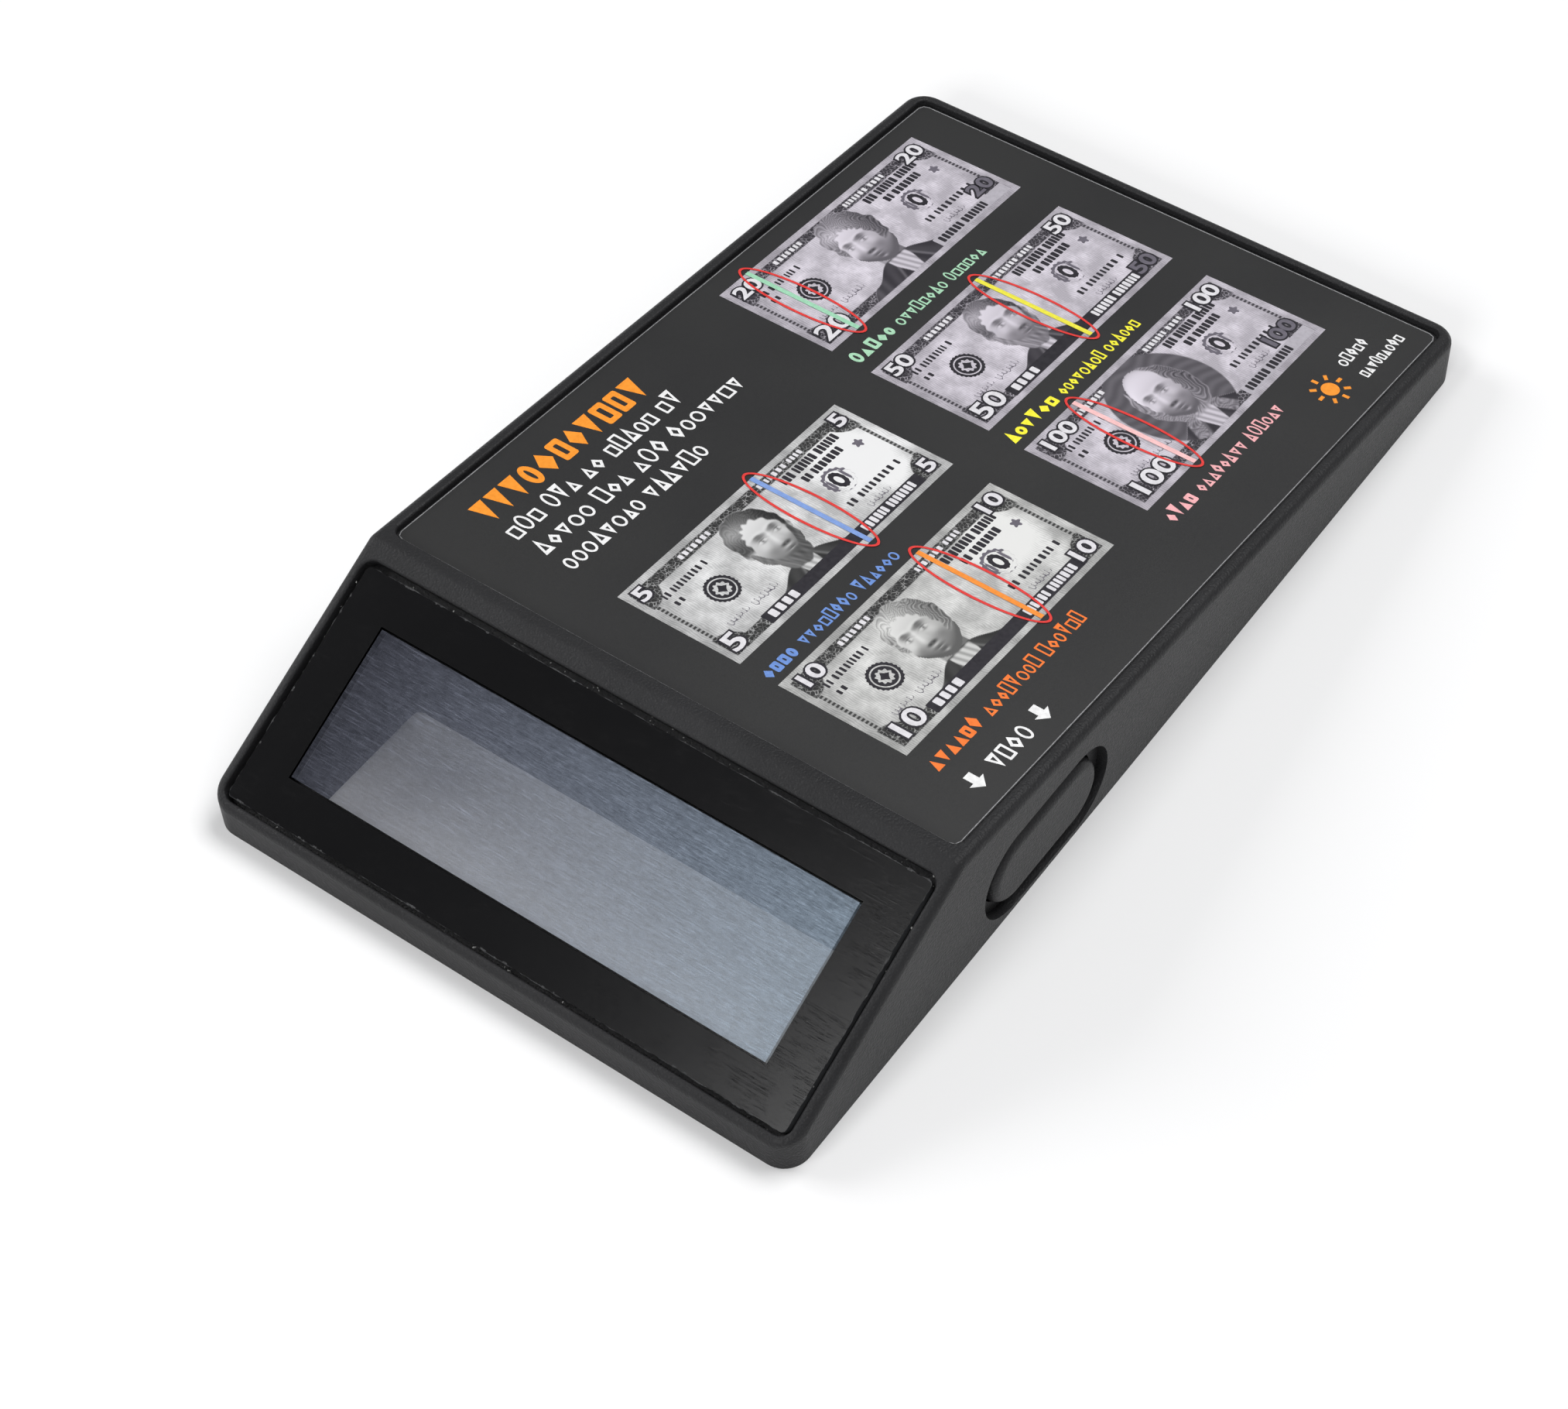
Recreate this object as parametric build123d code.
from build123d import *
import os
from math import atan2, cos, sin, tan

# Handheld ultraviolet note viewer. All sizes are in millimetres.
# While it is modelled, X runs across the body, Y from the front lip to the back and Z up
# from the underside. export_node() then moves the origin to the middle of the underside.

# ---------------------------------------------------------------- driving dimensions
WIDTH = 65.6
LENGTH = 114.0
LIP_HEIGHT = 3.7  # height of the front face
RIDGE_Y = 25.4  # where the slope and the top would meet if the ridge were sharp
RIDGE_HEIGHT = 16.1
BACK_HEIGHT = 5.4
CORNER_RADIUS = 2.6  # upright corners
EDGE_RADIUS = 0.9  # rounding all round the upper edge
RIDGE_RADIUS = 1.2
MOUTH_RADIUS = 0.25  # softened edges of the two recesses

WALL = 1.6
SKIN = 1.0  # what is left of the shell under the two recesses
FIT_GAP = 0.15  # gap round a piece that drops into the shell

# Recess and panel of the viewing window, measured up the slope from the front lip
RECESS_WIDTH = 63.4
RECESS_LENGTH = 25.5
RECESS_MIDDLE = 13.6
RECESS_DEPTH = 1.5
RECESS_RADIUS = 1.3
PANEL_WIDTH = 62.4
PANEL_LENGTH = 24.4
PANEL_MIDDLE = 13.5
PANEL_THICKNESS = 1.0
PANEL_RADIUS = 0.5
MASK_THICKNESS = 0.15
CLEAR_WIDTH = 53.0
CLEAR_LENGTH = 15.6
CLEAR_MIDDLE = 13.4
SIGHT_MARGIN = 0.9  # the shell's opening is this much larger than the clear rectangle

# Label pocket, measured from the sharp ridge towards the back
POCKET_WIDTH = 62.7
POCKET_LENGTH = 86.7
POCKET_MIDDLE = 44.75
POCKET_DEPTH = 0.8
POCKET_RADIUS = 1.1
LABEL_WIDTH = 62.0
LABEL_LENGTH = 85.9
LABEL_MIDDLE = 44.55
LABEL_THICKNESS = 0.3
LABEL_RADIUS = 0.8

# Side button and its pocket in the right wall
BUTTON_Y = 38.75
BUTTON_Z = 5.5
BUTTON_LENGTH = 16.6
BUTTON_HEIGHT = 7.6
BUTTON_GAP = 0.2
BUTTON_EDGE = 0.9
BUTTON_TRAVEL = 1.2
BUTTON_DEPTH = 4.2  # from its face to its inner end
BUTTON_POCKET_LENGTH = 19.7
BUTTON_POCKET_HEIGHT = 10.1
BUTTON_POCKET_DEPTH = 1.1
BUTTON_POCKET_RISE = 0.1  # the pocket's middle stands this much above the button's
BUTTON_PAD = 1.3  # extra wall behind the pocket
FLANGE_THICKNESS = 1.1
FLANGE_LENGTH = 19.4
FLANGE_HEIGHT = 6.2
FLANGE_RELIEF = 1.0  # base left under the flange

# Underside
BASE_THICKNESS = 1.6
SIGHT_HALF_WIDTH = 25.6
SIGHT_FRONT = 4.8
SIGHT_BACK = 20.8
SIGHT_RADIUS = 0.8
HOOK_X = 15.0
HOOK_WIDTH = 8.0
HOOK_DEPTH = 0.75
HOOK_BOTTOM = 0.5
HOOK_TOP = 1.3

# Light box round the viewing chamber
HOOD_HALF_WIDTH = 27.6
HOOD_WALL = 0.9
HOOD_FRONT = 4.2
HOOD_BACK = 21.4
HOOD_SHELF = 4.8
HOOD_POCKET_BACK = 26.2
HOOD_POCKET_TOP = 8.4  # above this height the back of the box leans forward at 45 degrees
HOOD_HEADROOM = 0.1
WIRE_SLOT = (22.6, 26.2, 5.9, 7.9)  # low x, high x, low z, high z

# Ultraviolet lamps on their strip board
LAMP_WALL_Y = 24.5  # middle of the lamps' leaning wall
LAMP_COUNT = 6
LAMP_PITCH = 8.4
LAMP_SIZE = (3.5, 2.8, 0.9)
LAMP_LENS_RADIUS = 1.2
LAMP_LENS_DEPTH = 0.25
STRIP_SIZE = (51.0, 4.2, 0.6)

# Battery bay with two AAA cells lying across the body
CELL_RADIUS = 5.1
CELL_LENGTH = 44.5
CELL_EDGE = 0.3
NUB_RADIUS = 1.9
NUB_LENGTH = 0.8
CELL_PITCH = 10.4
CELL_Z = 6.6
BAY_LEFT = -30.1
BAY_RIGHT = 20.1
BAY_FRONT = 29.2
BAY_BACK = 50.2
BAY_WALL = 0.8
BAY_TOP = 7.5
RIB_POSITIONS = (-18.0, -5.0, 8.0)
RIB_THICKNESS = 1.0
RIB_BOTTOM = 9.0
RIB_GAP = 0.15
CONTACT_THICKNESS = 0.4
CONTACT_WIDTH = 8.6
CONTACT_BOTTOM = 2.4
CONTACT_TOP = 10.6
DIMPLE_RADIUS = 1.6
DIMPLE_DEPTH = 0.5
COIL_RADIUS = 2.7
COIL_WIRE = 0.3
COIL_TURNS = 4

# Sliding battery door
DOOR_BOTTOM = 0.1
DOOR_TOP = 1.2
DOOR_RIGHT = 19.7
DOOR_GAP = 0.2
TONGUE_DEPTH = 0.65
TONGUE_BOTTOM = 0.6
TONGUE_TOP = 1.1
GROOVE_BOTTOM = 0.45
GROOVE_TOP = 1.25
DOOR_LIP = 1.4
DOOR_LIP_TOP = 1.45
GRIP_COUNT = 6
GRIP_PITCH = 1.6
GRIP_START = -29.4
GRIP_LENGTH = 12.0
GRIP_DEPTH = 0.45

# Circuit board, its parts and the switch
BOARD_BOTTOM = 2.2
BOARD_THICKNESS = 1.0
BOARD_HALF_WIDTH = 22.0
BOARD_FRONT = 52.0
BOARD_BACK = 80.0
TONGUE_LEFT = 21.1
TONGUE_RIGHT = 27.0
TONGUE_FRONT = 31.0
TONGUE_ROOT = 55.0
BOARD_PEGS = ((-18.0, 75.0), (18.0, 75.0), (-18.0, 56.0))
PEG_RADIUS = 0.7
PEG_TOP = 3.9
PEG_GAP = 0.1
POST_RADIUS = 1.6
TONGUE_REST = (22.1, 24.1, 33.0, 45.0)  # low x, high x, low y, high y of the rail under the tongue
CHIP_PLACE = (-8.0, 62.0)
CHIP_SIZE = (5.0, 4.0, 1.45)
CHIP_LIFT = 0.15
LEG_COUNT = 4  # on each side
LEG_PITCH = 1.27
LEG_SIZE = (0.4, 1.1, 0.5)
LEG_OVERLAP = 0.1  # into the chip's side
INDUCTOR_PLACE = (5.0, 63.0)
INDUCTOR_SIZE = (6.0, 6.0, 2.8)
INDUCTOR_CORNER = 0.8
WINDING_RADIUS = 2.2
WINDING_DEPTH = 0.4
RESISTOR_SIZE = (2.0, 1.25, 0.5)
RESISTOR_PLACES = ((-14.0, 60.0), (-14.0, 63.0), (-14.0, 66.0), (12.0, 68.0))
CAPACITOR_SIZE = (3.2, 1.6, 1.3)
CAPACITOR_PLACES = ((-8.0, 69.0), (12.0, 60.0), (12.0, 64.0))
SWITCH_DEPTH = 4.8
SWITCH_CLEARANCE = 0.8  # left between the pressed button and the switch
SWITCH_LENGTH = 5.8
SWITCH_WALL = 0.6
SWITCH_CORNER = 0.3
PLUNGER_LENGTH = 2.6
PLUNGER_HEIGHT = 1.6
PLUNGER_GAP = 0.05  # to the sides of its hole, and to the button at rest
COLLAR_LENGTH = 3.8
COLLAR_HEIGHT = 2.8
COLLAR_THICKNESS = 0.7
SPRING_RADIUS = 1.0
SPRING_WIRE = 0.14
SPRING_TURNS = 5

# Screws through the base into the shell's posts
SCREW_PLACES = ((-27.8, 59.0), (27.8, 59.0), (-27.8, 107.0), (27.8, 107.0))
SCREW_RADIUS = 1.0
SCREW_TOP = 3.9
SCREW_HEAD_RADIUS = 1.9
SCREW_HEAD_BOTTOM = 0.1
SCREW_HEAD_TOP = 0.9
SCREW_HEAD_EDGE = 0.25
SCREW_HOLE_RADIUS = 1.15
COUNTERBORE_RADIUS = 2.15
SLOT_WIDTH = 0.4
SLOT_LENGTH = 2.2
SLOT_DEPTH = 0.45
BOSS_RADIUS = 2.4
BOSS_COVER = 0.2  # least shell above a post

# Leads from the board to the lamp strip
WIRE_RADIUS = 0.45
WIRE_POSITIONS = {"led_wire_red": 23.5, "led_wire_black": 25.2}
WIRE_BEND = 1.4
WIRE_START_Y = 32.6
WIRE_TURN = 0.6  # inside the hood's back wall
WIRE_HEIGHT = 6.9  # where they pass through the hood's slot
WIRE_GAP = 0.05  # to the face of the strip board
WIRE_REACH = 1.0  # their ends lie this far below and behind the strip's middle line

# Tests on edges
NEAR = 0.01
PARALLEL = 0.99  # share of an edge's length that runs along an axis

# ---------------------------------------------------------------- derived values
SLOPE_ANGLE = atan2(RIDGE_HEIGHT - LIP_HEIGHT, RIDGE_Y)
TOP_ANGLE = atan2(RIDGE_HEIGHT - BACK_HEIGHT, LENGTH - RIDGE_Y)
SLOPE = Plane(
    origin=(0, 0, LIP_HEIGHT),
    x_dir=(1, 0, 0),
    z_dir=(0, -sin(SLOPE_ANGLE), cos(SLOPE_ANGLE)),
)
TOP = Plane(
    origin=(0, RIDGE_Y, RIDGE_HEIGHT),
    x_dir=(1, 0, 0),
    z_dir=(0, sin(TOP_ANGLE), cos(TOP_ANGLE)),
)
SLOPE_CEILING = RECESS_DEPTH + SKIN
TOP_CEILING = POCKET_DEPTH + SKIN
CAVITY_HALF_WIDTH = WIDTH / 2 - WALL
BOARD_TOP = BOARD_BOTTOM + BOARD_THICKNESS
BUTTON_POCKET_FLOOR = WIDTH / 2 - BUTTON_POCKET_DEPTH
BUTTON_INNER_END = WIDTH / 2 - BUTTON_DEPTH
PAD_FACE = CAVITY_HALF_WIDTH - BUTTON_PAD
SWITCH_RIGHT = BUTTON_INNER_END - BUTTON_TRAVEL - SWITCH_CLEARANCE
SWITCH_LEFT = SWITCH_RIGHT - SWITCH_DEPTH
CELL_FRONT_Y = (BAY_FRONT + BAY_BACK - CELL_PITCH) / 2
CELL_BACK_Y = CELL_FRONT_Y + CELL_PITCH
PLATE_LEFT_FACE = BAY_LEFT + CONTACT_THICKNESS
PLATE_RIGHT_FACE = BAY_RIGHT - CONTACT_THICKNESS
COIL_SPACE = PLATE_RIGHT_FACE - PLATE_LEFT_FACE - DIMPLE_DEPTH - CELL_LENGTH
SWITCH_HEIGHT = 2 * (BUTTON_Z - BOARD_TOP)
LEAN = sin(atan2(1, 1))  # sine and cosine of 45 degrees
LAMP_WALL_Z = HOOD_POCKET_BACK + HOOD_POCKET_TOP - LAMP_WALL_Y


def slope_height(y, drop=0.0):
    """Height of the slope at y, sunk by drop along its normal."""
    return LIP_HEIGHT + y * tan(SLOPE_ANGLE) - drop / cos(SLOPE_ANGLE)


def top_height(y, drop=0.0):
    """Height of the top at y, sunk by drop along its normal."""
    return RIDGE_HEIGHT - (y - RIDGE_Y) * tan(TOP_ANGLE) - drop / cos(TOP_ANGLE)


# ---------------------------------------------------------------- small shape helpers
def block(x0, x1, y0, y1, z0, z1):
    """Box between two opposite corners."""
    middle = Pos((x0 + x1) / 2, (y0 + y1) / 2, (z0 + z1) / 2)
    return middle * Box(x1 - x0, y1 - y0, z1 - z0)


def upright(radius, x, y, z0, z1):
    """Upright cylinder between two heights."""
    return Pos(x, y, (z0 + z1) / 2) * Cylinder(radius, z1 - z0)


def rod(radius, x0, x1, y, z):
    """Cylinder along X."""
    return Pos((x0 + x1) / 2, y, z) * Rot(0, 90, 0) * Cylinder(radius, x1 - x0)


def side_prism(points, x0, x1):
    """Solid with an outline of (y, z) points, between two places on X."""
    outline = Plane.YZ * make_face(Polyline(*points, close=True))
    return Pos(x0, 0, 0) * extrude(outline, x1 - x0)


def side_stadium(length, height, x0, x1, y=BUTTON_Y, z=BUTTON_Z):
    """Stadium with its long axis along Y, between two places on X."""
    plane = Plane(origin=(x0, y, z), x_dir=(0, 1, 0), z_dir=(1, 0, 0))
    return extrude(plane * SlotOverall(length, height), x1 - x0)


def sunk_plate(surface, width, length, middle, drop, thickness, radius=0.0):
    """Plate parallel to a sloped surface, with its upper face sunk by drop."""
    plane = surface.offset(-drop - thickness)
    if radius:
        shape = RectangleRounded(width, length, radius)
    else:
        shape = Rectangle(width, length)
    return extrude(plane * Pos(0, middle) * shape, thickness)


def round_mouth(solid, surface, width, length, middle):
    """Softens the rim of a recess that opens on a sloped surface."""
    mouth = []
    for edge in solid.edges():
        place = surface.to_local_coords(edge.center())
        level = abs(place.Z) < NEAR
        inside = abs(place.X) < width / 2 + NEAR and abs(place.Y - middle) < length / 2 + NEAR
        if level and inside:
            mouth.append(edge)
    return fillet(mouth, MOUTH_RADIUS)


def coil(radius, wire, x0, x1, y, z, turns):
    """Helical spring along X whose wire lies between x0 and x1."""
    length = x1 - x0 - 2 * wire
    path = Helix(length / turns, length, radius, center=(x0 + wire, y, z), direction=(1, 0, 0))
    start = Plane(origin=path @ 0, z_dir=path % 0)
    return sweep(start * Circle(wire), path=path)


# ---------------------------------------------------------------- casing
def outer_wedge():
    """Closed outer form: wedge outline, rounded ridge, corners and upper edge."""
    outline = [(0, 0), (0, LIP_HEIGHT), (RIDGE_Y, RIDGE_HEIGHT), (LENGTH, BACK_HEIGHT), (LENGTH, 0)]
    face = make_face(Polyline(*outline, close=True))
    face = fillet(face.vertices().sort_by(Axis.Y)[-1], RIDGE_RADIUS)
    wedge = extrude(Plane.YZ * face, WIDTH / 2, both=True)
    plan = Pos(0, LENGTH / 2) * RectangleRounded(WIDTH, LENGTH, CORNER_RADIUS)
    body = wedge & extrude(plan, RIDGE_HEIGHT + 1)
    rim = []
    for edge in body.edges():
        run = edge.end_point() - edge.start_point()
        upright_edge = abs(run.Z) > PARALLEL * run.length
        ridge_seam = abs(run.X) > PARALLEL * run.length and 1 < edge.center().Y < LENGTH - 1
        if edge.center().Z > LIP_HEIGHT / 2 and not upright_edge and not ridge_seam:
            rim.append(edge)
    return fillet(rim, EDGE_RADIUS)


def cavity():
    """Room inside the shell, open at the bottom."""
    rise = tan(SLOPE_ANGLE) + tan(TOP_ANGLE)
    ridge_y = (top_height(0, TOP_CEILING) - slope_height(0, SLOPE_CEILING)) / rise
    outline = [
        (WALL, -1),
        (WALL, slope_height(WALL, SLOPE_CEILING)),
        (ridge_y, slope_height(ridge_y, SLOPE_CEILING)),
        (LENGTH - WALL, top_height(LENGTH - WALL, TOP_CEILING)),
        (LENGTH - WALL, -1),
    ]
    room = side_prism(outline, -CAVITY_HALF_WIDTH, CAVITY_HALF_WIDTH)
    plan = RectangleRounded(2 * CAVITY_HALF_WIDTH, LENGTH - 2 * WALL, CORNER_RADIUS - WALL)
    return room & Pos(0, LENGTH / 2, -1) * extrude(plan, RIDGE_HEIGHT + 1)


def screw_boss(x, y):
    """Post under the top that takes one screw from below."""
    top = top_height(y + BOSS_RADIUS, POCKET_DEPTH + BOSS_COVER)
    return upright(BOSS_RADIUS, x, y, BASE_THICKNESS, top)


def cell_rib(x):
    """Rib under the top that keeps both cells from lifting."""
    half = RIB_THICKNESS / 2
    outline = [
        (BAY_FRONT, RIB_BOTTOM),
        (BAY_FRONT, top_height(BAY_FRONT, TOP_CEILING / 2)),
        (BAY_BACK, top_height(BAY_BACK, TOP_CEILING / 2)),
        (BAY_BACK, RIB_BOTTOM),
    ]
    rib = side_prism(outline, x - half, x + half)
    for y in (CELL_FRONT_Y, CELL_BACK_Y):
        rib -= rod(CELL_RADIUS + RIB_GAP, x - RIB_THICKNESS, x + RIB_THICKNESS, y, CELL_Z)
    return rib


def upper_shell():
    """Black casing with the window recess, label pocket and button pocket."""
    body = outer_wedge()
    body -= sunk_plate(
        SLOPE, RECESS_WIDTH, RECESS_LENGTH, RECESS_MIDDLE, 0, RECESS_DEPTH, RECESS_RADIUS
    )
    body -= sunk_plate(
        TOP, POCKET_WIDTH, POCKET_LENGTH, POCKET_MIDDLE, 0, POCKET_DEPTH, POCKET_RADIUS
    )
    body = round_mouth(body, SLOPE, RECESS_WIDTH, RECESS_LENGTH, RECESS_MIDDLE)
    body = round_mouth(body, TOP, POCKET_WIDTH, POCKET_LENGTH, POCKET_MIDDLE)
    body -= cavity()

    sight_width = CLEAR_WIDTH + 2 * SIGHT_MARGIN
    sight_length = CLEAR_LENGTH + 2 * SIGHT_MARGIN
    body -= sunk_plate(
        SLOPE, sight_width, sight_length, CLEAR_MIDDLE, RECESS_DEPTH - SKIN, 3 * SKIN, SIGHT_RADIUS
    )

    pad_half = BUTTON_POCKET_LENGTH / 2 + WALL
    pad_top = BUTTON_Z + BUTTON_POCKET_HEIGHT / 2 + WALL
    body += block(
        PAD_FACE,
        CAVITY_HALF_WIDTH + WALL / 4,
        BUTTON_Y - pad_half,
        BUTTON_Y + pad_half,
        BASE_THICKNESS,
        pad_top,
    )
    body -= side_stadium(
        BUTTON_POCKET_LENGTH,
        BUTTON_POCKET_HEIGHT,
        BUTTON_POCKET_FLOOR,
        WIDTH / 2 + 1,
        z=BUTTON_Z + BUTTON_POCKET_RISE,
    )
    body -= side_stadium(
        BUTTON_LENGTH + 2 * BUTTON_GAP, BUTTON_HEIGHT + 2 * BUTTON_GAP, PAD_FACE - 1, WIDTH / 2
    )

    for x, y in SCREW_PLACES:
        body += screw_boss(x, y)
        body -= upright(SCREW_RADIUS, x, y, BASE_THICKNESS - 1, SCREW_TOP)
    for x in RIB_POSITIONS:
        body += cell_rib(x)
    for x in (-HOOK_X, HOOK_X):
        half = HOOK_WIDTH / 2 + FIT_GAP
        low = HOOK_BOTTOM - FIT_GAP
        body -= block(x - half, x + half, WALL - HOOK_DEPTH, WALL + 1, low, HOOK_TOP + FIT_GAP)
    body -= block(
        -WIDTH / 2 - 1,
        -CAVITY_HALF_WIDTH + FIT_GAP,
        BAY_FRONT - 2 * DOOR_GAP,
        BAY_BACK + 2 * DOOR_GAP,
        -1,
        BASE_THICKNESS,
    )
    return body


def base_plate():
    """Bottom closure with the sight aperture, battery bay, pegs and front hooks."""
    half = CAVITY_HALF_WIDTH - FIT_GAP
    front = WALL + FIT_GAP
    back = LENGTH - WALL - FIT_GAP
    plate = block(-half, half, front, back, 0, BASE_THICKNESS)
    upright_edges = plate.edges().filter_by(Axis.Z)
    plate = fillet(upright_edges, CORNER_RADIUS - WALL - FIT_GAP)

    sight = RectangleRounded(2 * SIGHT_HALF_WIDTH, SIGHT_BACK - SIGHT_FRONT, SIGHT_RADIUS)
    sight_middle = (SIGHT_FRONT + SIGHT_BACK) / 2
    plate -= Pos(0, sight_middle, -1) * extrude(sight, BASE_THICKNESS + 2)

    plate += block(
        BAY_LEFT - BAY_WALL,
        BAY_RIGHT + BAY_WALL,
        BAY_FRONT - BAY_WALL,
        BAY_BACK + BAY_WALL,
        BASE_THICKNESS,
        BAY_TOP,
    )
    plate -= block(BAY_LEFT, BAY_RIGHT, BAY_FRONT, BAY_BACK, -1, BAY_TOP + 1)
    plate -= block(-half - 1, BAY_LEFT + 1, BAY_FRONT + DOOR_GAP, BAY_BACK - DOOR_GAP, -1, GROOVE_TOP)
    plate -= block(
        -half - 1,
        DOOR_RIGHT + 2 * DOOR_GAP,
        BAY_FRONT - 2 * DOOR_GAP,
        BAY_BACK + 2 * DOOR_GAP,
        GROOVE_BOTTOM,
        GROOVE_TOP,
    )
    lower = block(-half, half, BAY_FRONT - 1, BAY_FRONT + DOOR_GAP, 0, GROOVE_BOTTOM)
    plate += lower & block(-half, DOOR_RIGHT + DOOR_GAP, front, back, 0, GROOVE_BOTTOM)
    upper = block(-half, half, BAY_BACK - DOOR_GAP, BAY_BACK + 1, 0, GROOVE_BOTTOM)
    plate += upper & block(-half, DOOR_RIGHT + DOOR_GAP, front, back, 0, GROOVE_BOTTOM)

    for x in (-HOOK_X, HOOK_X):
        plate += block(
            x - HOOK_WIDTH / 2,
            x + HOOK_WIDTH / 2,
            front - HOOK_DEPTH,
            front + 1,
            HOOK_BOTTOM,
            HOOK_TOP,
        )
    for x, y in SCREW_PLACES:
        plate -= upright(SCREW_HOLE_RADIUS, x, y, -1, BASE_THICKNESS + 1)
        plate -= upright(COUNTERBORE_RADIUS, x, y, -1, SCREW_HEAD_TOP)
    for x, y in BOARD_PEGS:
        plate += upright(POST_RADIUS, x, y, BASE_THICKNESS, BOARD_BOTTOM)
        plate += upright(PEG_RADIUS, x, y, BASE_THICKNESS, PEG_TOP)
    plate += block(*TONGUE_REST, BASE_THICKNESS, BOARD_BOTTOM)
    relief = FLANGE_LENGTH / 2 + 2 * BUTTON_GAP
    plate -= block(
        TONGUE_RIGHT + BUTTON_GAP,
        half + 1,
        BUTTON_Y - relief,
        BUTTON_Y + relief,
        FLANGE_RELIEF,
        BASE_THICKNESS + 1,
    )
    return plate


# ---------------------------------------------------------------- window and label
def viewing_window():
    """Clear acrylic panel that lies in the slope's recess."""
    drop = RECESS_DEPTH - MASK_THICKNESS - PANEL_THICKNESS
    return sunk_plate(
        SLOPE, PANEL_WIDTH, PANEL_LENGTH, PANEL_MIDDLE, drop, PANEL_THICKNESS, PANEL_RADIUS
    )


def window_mask():
    """Black adhesive frame between the panel and the shell."""
    drop = RECESS_DEPTH - MASK_THICKNESS
    mask = sunk_plate(
        SLOPE, PANEL_WIDTH, PANEL_LENGTH, PANEL_MIDDLE, drop, MASK_THICKNESS, PANEL_RADIUS
    )
    return mask - sunk_plate(
        SLOPE, CLEAR_WIDTH, CLEAR_LENGTH, CLEAR_MIDDLE, drop - 1, MASK_THICKNESS + 2
    )


def instruction_label():
    """Printed plastic film in the pocket on the top."""
    drop = POCKET_DEPTH - LABEL_THICKNESS
    return sunk_plate(
        TOP, LABEL_WIDTH, LABEL_LENGTH, LABEL_MIDDLE, drop, LABEL_THICKNESS, LABEL_RADIUS
    )


# ---------------------------------------------------------------- light box
def viewing_hood():
    """Black box round the viewing chamber, with a pocket for the lamps behind it."""
    outer_front = HOOD_FRONT - HOOD_WALL
    outer_back = HOOD_BACK + HOOD_WALL
    pocket_back = HOOD_POCKET_BACK + HOOD_WALL
    lean_outer = HOOD_POCKET_BACK + HOOD_POCKET_TOP + HOOD_WALL / LEAN
    rise = 1 + tan(SLOPE_ANGLE)
    lip_y = (lean_outer - slope_height(0, SLOPE_CEILING) + HOOD_HEADROOM) / rise
    outer = [
        (outer_front, BASE_THICKNESS),
        (outer_front, slope_height(outer_front, SLOPE_CEILING) - HOOD_HEADROOM),
        (lip_y, slope_height(lip_y, SLOPE_CEILING) - HOOD_HEADROOM),
        (pocket_back, lean_outer - pocket_back),
        (pocket_back, HOOD_SHELF - HOOD_WALL),
        (outer_back, HOOD_SHELF - HOOD_WALL),
        (outer_back, BASE_THICKNESS),
    ]
    lean_inner = HOOD_POCKET_BACK + HOOD_POCKET_TOP
    inner = [
        (HOOD_FRONT, BASE_THICKNESS - 1),
        (HOOD_FRONT, RIDGE_HEIGHT),
        (lean_inner - RIDGE_HEIGHT, RIDGE_HEIGHT),
        (HOOD_POCKET_BACK, HOOD_POCKET_TOP),
        (HOOD_POCKET_BACK, HOOD_SHELF),
        (HOOD_BACK, HOOD_SHELF),
        (HOOD_BACK, BASE_THICKNESS - 1),
    ]
    outside = HOOD_HALF_WIDTH + HOOD_WALL
    box = side_prism(outer, -outside, outside)
    box -= side_prism(inner, -HOOD_HALF_WIDTH, HOOD_HALF_WIDTH)
    left, right, low, high = WIRE_SLOT
    return box - block(left, right, HOOD_POCKET_BACK - 1, pocket_back + 1, low, high)


def lamp_plane(height):
    """Plane parallel to the hood's leaning wall, at a distance from it."""
    shift = height * LEAN
    origin = (0, LAMP_WALL_Y - shift, LAMP_WALL_Z - shift)
    return Plane(origin=origin, x_dir=(1, 0, 0), z_dir=(0, -LEAN, -LEAN))


def led_board():
    """Strip board glued to the hood's leaning wall."""
    length, width, thickness = STRIP_SIZE
    return extrude(lamp_plane(0) * Rectangle(length, width), thickness)


def uv_led(index):
    """One surface-mount ultraviolet LED with a shallow round lens well."""
    length, width, height = LAMP_SIZE
    x = (index - (LAMP_COUNT - 1) / 2) * LAMP_PITCH
    foot = lamp_plane(STRIP_SIZE[2])
    lamp = extrude(foot * Pos(x, 0) * Rectangle(length, width), height)
    well = lamp_plane(STRIP_SIZE[2] + height - LAMP_LENS_DEPTH)
    return lamp - extrude(well * Pos(x, 0) * Circle(LAMP_LENS_RADIUS), 1)


def led_wire(x):
    """Insulated lead from the board's tongue up and forward to the lamp strip."""
    start = (x, WIRE_START_Y, BOARD_TOP)
    knee = (x, WIRE_START_Y, WIRE_HEIGHT)
    slot = (x, HOOD_POCKET_BACK - WIRE_TURN, WIRE_HEIGHT)
    reach = (STRIP_SIZE[2] + WIRE_RADIUS + WIRE_GAP) * LEAN
    end = (x, LAMP_WALL_Y + WIRE_REACH - reach, LAMP_WALL_Z - WIRE_REACH - reach)
    path = FilletPolyline(start, knee, slot, end, radius=(WIRE_BEND, WIRE_BEND / 3))
    section = Plane(origin=start, z_dir=(0, 0, 1)) * Circle(WIRE_RADIUS)
    return sweep(section, path=path)


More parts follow.
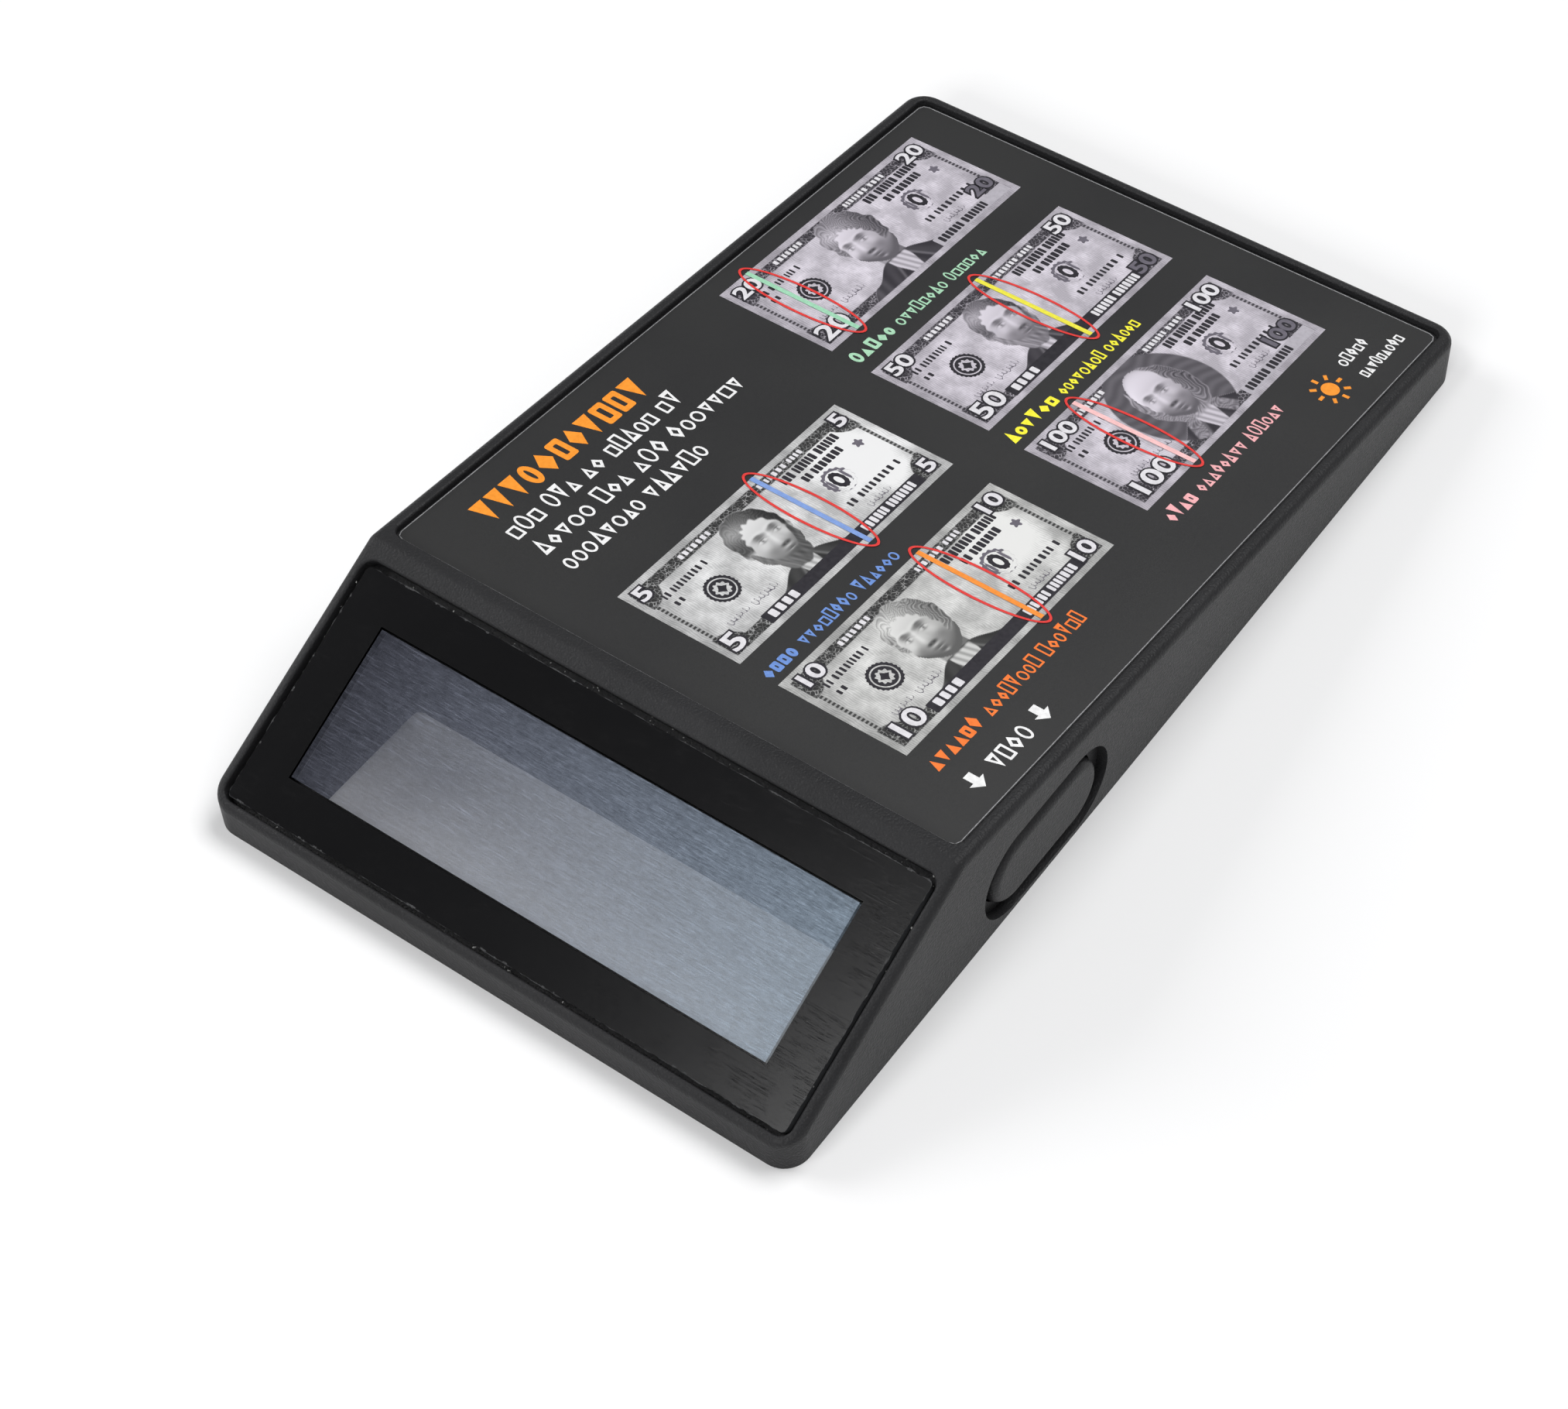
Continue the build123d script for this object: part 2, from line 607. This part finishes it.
# ---------------------------------------------------------------- button and switch
def push_button():
    """Stadium cap with a wider inner flange that keeps it in the shell."""
    cap = side_stadium(BUTTON_LENGTH, BUTTON_HEIGHT, BUTTON_INNER_END, WIDTH / 2)
    face = cap.faces().sort_by(Axis.X)[-1]
    cap = fillet(face.edges(), BUTTON_EDGE)
    return cap + block(
        BUTTON_INNER_END,
        BUTTON_INNER_END + FLANGE_THICKNESS,
        BUTTON_Y - FLANGE_LENGTH / 2,
        BUTTON_Y + FLANGE_LENGTH / 2,
        BUTTON_Z - FLANGE_HEIGHT / 2,
        BUTTON_Z + FLANGE_HEIGHT / 2,
    )


def switch_box(length, height, x0, x1):
    """Box centred on the switch's axis."""
    return block(
        x0,
        x1,
        BUTTON_Y - length / 2,
        BUTTON_Y + length / 2,
        BUTTON_Z - height / 2,
        BUTTON_Z + height / 2,
    )


def switch_body():
    """Housing of the self-returning push switch."""
    housing = switch_box(SWITCH_LENGTH, SWITCH_HEIGHT, SWITCH_LEFT, SWITCH_RIGHT)
    housing = fillet(housing.edges().filter_by(Axis.X), SWITCH_CORNER)
    housing -= switch_box(
        COLLAR_LENGTH + 4 * PLUNGER_GAP,
        COLLAR_HEIGHT + 4 * PLUNGER_GAP,
        SWITCH_LEFT + SWITCH_WALL,
        SWITCH_RIGHT - SWITCH_WALL,
    )
    return housing - switch_box(
        PLUNGER_LENGTH + 2 * PLUNGER_GAP,
        PLUNGER_HEIGHT + 2 * PLUNGER_GAP,
        SWITCH_RIGHT - 2 * SWITCH_WALL,
        SWITCH_RIGHT + 1,
    )


def switch_plunger():
    """Stem that the button pushes, with a collar that stays in the housing."""
    collar_face = SWITCH_RIGHT - SWITCH_WALL - PLUNGER_GAP
    collar = switch_box(
        COLLAR_LENGTH, COLLAR_HEIGHT, collar_face - COLLAR_THICKNESS, collar_face
    )
    tip = BUTTON_INNER_END - PLUNGER_GAP
    return collar + switch_box(PLUNGER_LENGTH, PLUNGER_HEIGHT, collar_face - COLLAR_THICKNESS, tip)


def switch_spring():
    """Return spring between the housing's end wall and the plunger's collar."""
    collar_back = SWITCH_RIGHT - SWITCH_WALL - PLUNGER_GAP - COLLAR_THICKNESS
    start = SWITCH_LEFT + SWITCH_WALL
    return coil(SPRING_RADIUS, SPRING_WIRE, start, collar_back, BUTTON_Y, BUTTON_Z, SPRING_TURNS)


# ---------------------------------------------------------------- circuit board
def main_board():
    """Board with a tongue beside the battery bay that carries the switch."""
    board = block(
        -BOARD_HALF_WIDTH, BOARD_HALF_WIDTH, BOARD_FRONT, BOARD_BACK, BOARD_BOTTOM, BOARD_TOP
    )
    board += block(
        TONGUE_LEFT, TONGUE_RIGHT, TONGUE_FRONT, TONGUE_ROOT, BOARD_BOTTOM, BOARD_TOP
    )
    for x, y in BOARD_PEGS:
        board -= upright(PEG_RADIUS + PEG_GAP, x, y, BOARD_BOTTOM - 1, BOARD_TOP + 1)
    return board


def on_board(place, size, lift=0.0):
    """Box of a length, width and height that stands on the board at a place."""
    x, y = place
    length, width, height = size
    return Pos(x, y, BOARD_TOP + lift + height / 2) * Box(length, width, height)


def driver_chip():
    """Step-up driver in an eight-leg package."""
    x, y = CHIP_PLACE
    chip = on_board(CHIP_PLACE, CHIP_SIZE, CHIP_LIFT)
    leg_y = CHIP_SIZE[1] / 2 - LEG_OVERLAP + LEG_SIZE[1] / 2
    for side in (-1, 1):
        for step in range(LEG_COUNT):
            leg_x = x + (step - (LEG_COUNT - 1) / 2) * LEG_PITCH
            chip += on_board((leg_x, y + side * leg_y), LEG_SIZE)
    return chip


def boost_inductor():
    """Square shielded coil with a round winding window."""
    core = on_board(INDUCTOR_PLACE, INDUCTOR_SIZE)
    core = fillet(core.edges().filter_by(Axis.Z), INDUCTOR_CORNER)
    top = BOARD_TOP + INDUCTOR_SIZE[2]
    return core - upright(WINDING_RADIUS, *INDUCTOR_PLACE, top - WINDING_DEPTH, top + 1)


def chip_parts(places, size):
    """Group of equal small parts that stand on the board."""
    return Compound(children=[on_board(place, size) for place in places])


# ---------------------------------------------------------------- battery bay
def battery_cell(y, nub_side):
    """AAA cell along X, with its positive nub towards nub_side."""
    if nub_side > 0:
        tip = PLATE_RIGHT_FACE - DIMPLE_DEPTH
    else:
        tip = PLATE_LEFT_FACE + DIMPLE_DEPTH
    shoulder = tip - nub_side * NUB_LENGTH
    far_end = tip - nub_side * CELL_LENGTH
    can = rod(CELL_RADIUS, *sorted((far_end, shoulder)), y, CELL_Z)
    can = fillet(can.edges(), CELL_EDGE)
    return can + rod(NUB_RADIUS, *sorted((shoulder - nub_side, tip)), y, CELL_Z)


def contact_sheet(face, side, y0, y1):
    """Upright sheet against the bay's end wall; side is +1 at the right end."""
    back = face + side * CONTACT_THICKNESS
    return block(*sorted((face, back)), y0, y1, CONTACT_BOTTOM, CONTACT_TOP)


def contact_dimple(face, side, y):
    """Raised button on a contact sheet that meets the cell's nub."""
    tip = face - side * DIMPLE_DEPTH
    return rod(DIMPLE_RADIUS, *sorted((face + side * CONTACT_THICKNESS / 2, tip)), y, CELL_Z)


def contact_coil(face, side, y):
    """Coil on a contact sheet that meets the cell's flat end."""
    tip = face - side * COIL_SPACE
    root = face + side * CONTACT_THICKNESS / 2
    return coil(COIL_RADIUS, COIL_WIRE, *sorted((root, tip)), y, CELL_Z, COIL_TURNS)


def contact_plate():
    """Positive contact of the front cell, at the right end."""
    half = CONTACT_WIDTH / 2
    sheet = contact_sheet(PLATE_RIGHT_FACE, 1, CELL_FRONT_Y - half, CELL_FRONT_Y + half)
    return sheet + contact_dimple(PLATE_RIGHT_FACE, 1, CELL_FRONT_Y)


def contact_spring():
    """Negative contact of the back cell, at the right end."""
    half = CONTACT_WIDTH / 2
    sheet = contact_sheet(PLATE_RIGHT_FACE, 1, CELL_BACK_Y - half, CELL_BACK_Y + half)
    return sheet + contact_coil(PLATE_RIGHT_FACE, 1, CELL_BACK_Y)


def bridge_contact():
    """Left contact that joins the two cells."""
    half = CONTACT_WIDTH / 2
    sheet = contact_sheet(PLATE_LEFT_FACE, -1, CELL_FRONT_Y - half, CELL_BACK_Y + half)
    sheet += contact_dimple(PLATE_LEFT_FACE, -1, CELL_BACK_Y)
    return sheet + contact_coil(PLATE_LEFT_FACE, -1, CELL_FRONT_Y)


def battery_door():
    """Sliding door with edge tongues, a lip in the left wall and grip ridges."""
    front = BAY_FRONT + 2 * DOOR_GAP
    back = BAY_BACK - 2 * DOOR_GAP
    door = block(-WIDTH / 2, DOOR_RIGHT, front, back, DOOR_BOTTOM, DOOR_TOP)
    door += block(
        -CAVITY_HALF_WIDTH + 2 * DOOR_GAP,
        DOOR_RIGHT,
        front - TONGUE_DEPTH,
        back + TONGUE_DEPTH,
        TONGUE_BOTTOM,
        TONGUE_TOP,
    )
    door += block(
        -WIDTH / 2,
        -WIDTH / 2 + DOOR_LIP,
        front - TONGUE_DEPTH,
        back + TONGUE_DEPTH,
        DOOR_BOTTOM,
        DOOR_LIP_TOP,
    )
    middle = (front + back) / 2
    half = GRIP_LENGTH / 2
    for index in range(GRIP_COUNT):
        x = GRIP_START + index * GRIP_PITCH
        door -= block(
            x, x + GRIP_PITCH / 2, middle - half, middle + half, -1, DOOR_BOTTOM + GRIP_DEPTH
        )
    return door


# ---------------------------------------------------------------- fasteners
def case_screw(x, y):
    """Self-tapping pan-head screw with a cross recess."""
    screw = upright(SCREW_RADIUS, x, y, SCREW_HEAD_BOTTOM + SCREW_HEAD_EDGE, SCREW_TOP)
    head = upright(SCREW_HEAD_RADIUS, x, y, SCREW_HEAD_BOTTOM, SCREW_HEAD_TOP)
    screw += fillet(head.edges().sort_by(Axis.Z)[0], SCREW_HEAD_EDGE)
    for angle in (0, 90):
        blade = Box(SLOT_LENGTH, SLOT_WIDTH, 2 * SLOT_DEPTH)
        screw -= Pos(x, y, SCREW_HEAD_BOTTOM) * Rot(0, 0, angle) * blade
    return screw


def case_screws():
    """The four equal screws, as separate solids."""
    return Compound(children=[case_screw(x, y) for x, y in SCREW_PLACES])


# ---------------------------------------------------------------- nodes
NODES = {
    "upper_shell": upper_shell,
    "base_plate": base_plate,
    "viewing_window": viewing_window,
    "window_mask": window_mask,
    "instruction_label": instruction_label,
    "viewing_hood": viewing_hood,
    "led_board": led_board,
    "push_button": push_button,
    "switch_body": switch_body,
    "switch_plunger": switch_plunger,
    "switch_spring": switch_spring,
    "main_board": main_board,
    "driver_chip": driver_chip,
    "boost_inductor": boost_inductor,
    "chip_resistors": lambda: chip_parts(RESISTOR_PLACES, RESISTOR_SIZE),
    "chip_capacitors": lambda: chip_parts(CAPACITOR_PLACES, CAPACITOR_SIZE),
    "battery_cell_front": lambda: battery_cell(CELL_FRONT_Y, 1),
    "battery_cell_back": lambda: battery_cell(CELL_BACK_Y, -1),
    "contact_plate": contact_plate,
    "contact_spring": contact_spring,
    "bridge_contact": bridge_contact,
    "battery_door": battery_door,
    "case_screws": case_screws,
}


def export_node(name, shape):
    """Writes one node, with the origin moved to the middle of the underside."""
    export_step(Pos(0, -LENGTH / 2, 0) * shape, f"parts/{name}.step")


os.makedirs("parts", exist_ok=True)
for node, build in NODES.items():
    export_node(node, build())
for lamp in range(LAMP_COUNT):
    export_node(f"uv_led_{lamp + 1}", uv_led(lamp))
for wire, place in WIRE_POSITIONS.items():
    export_node(wire, led_wire(place))
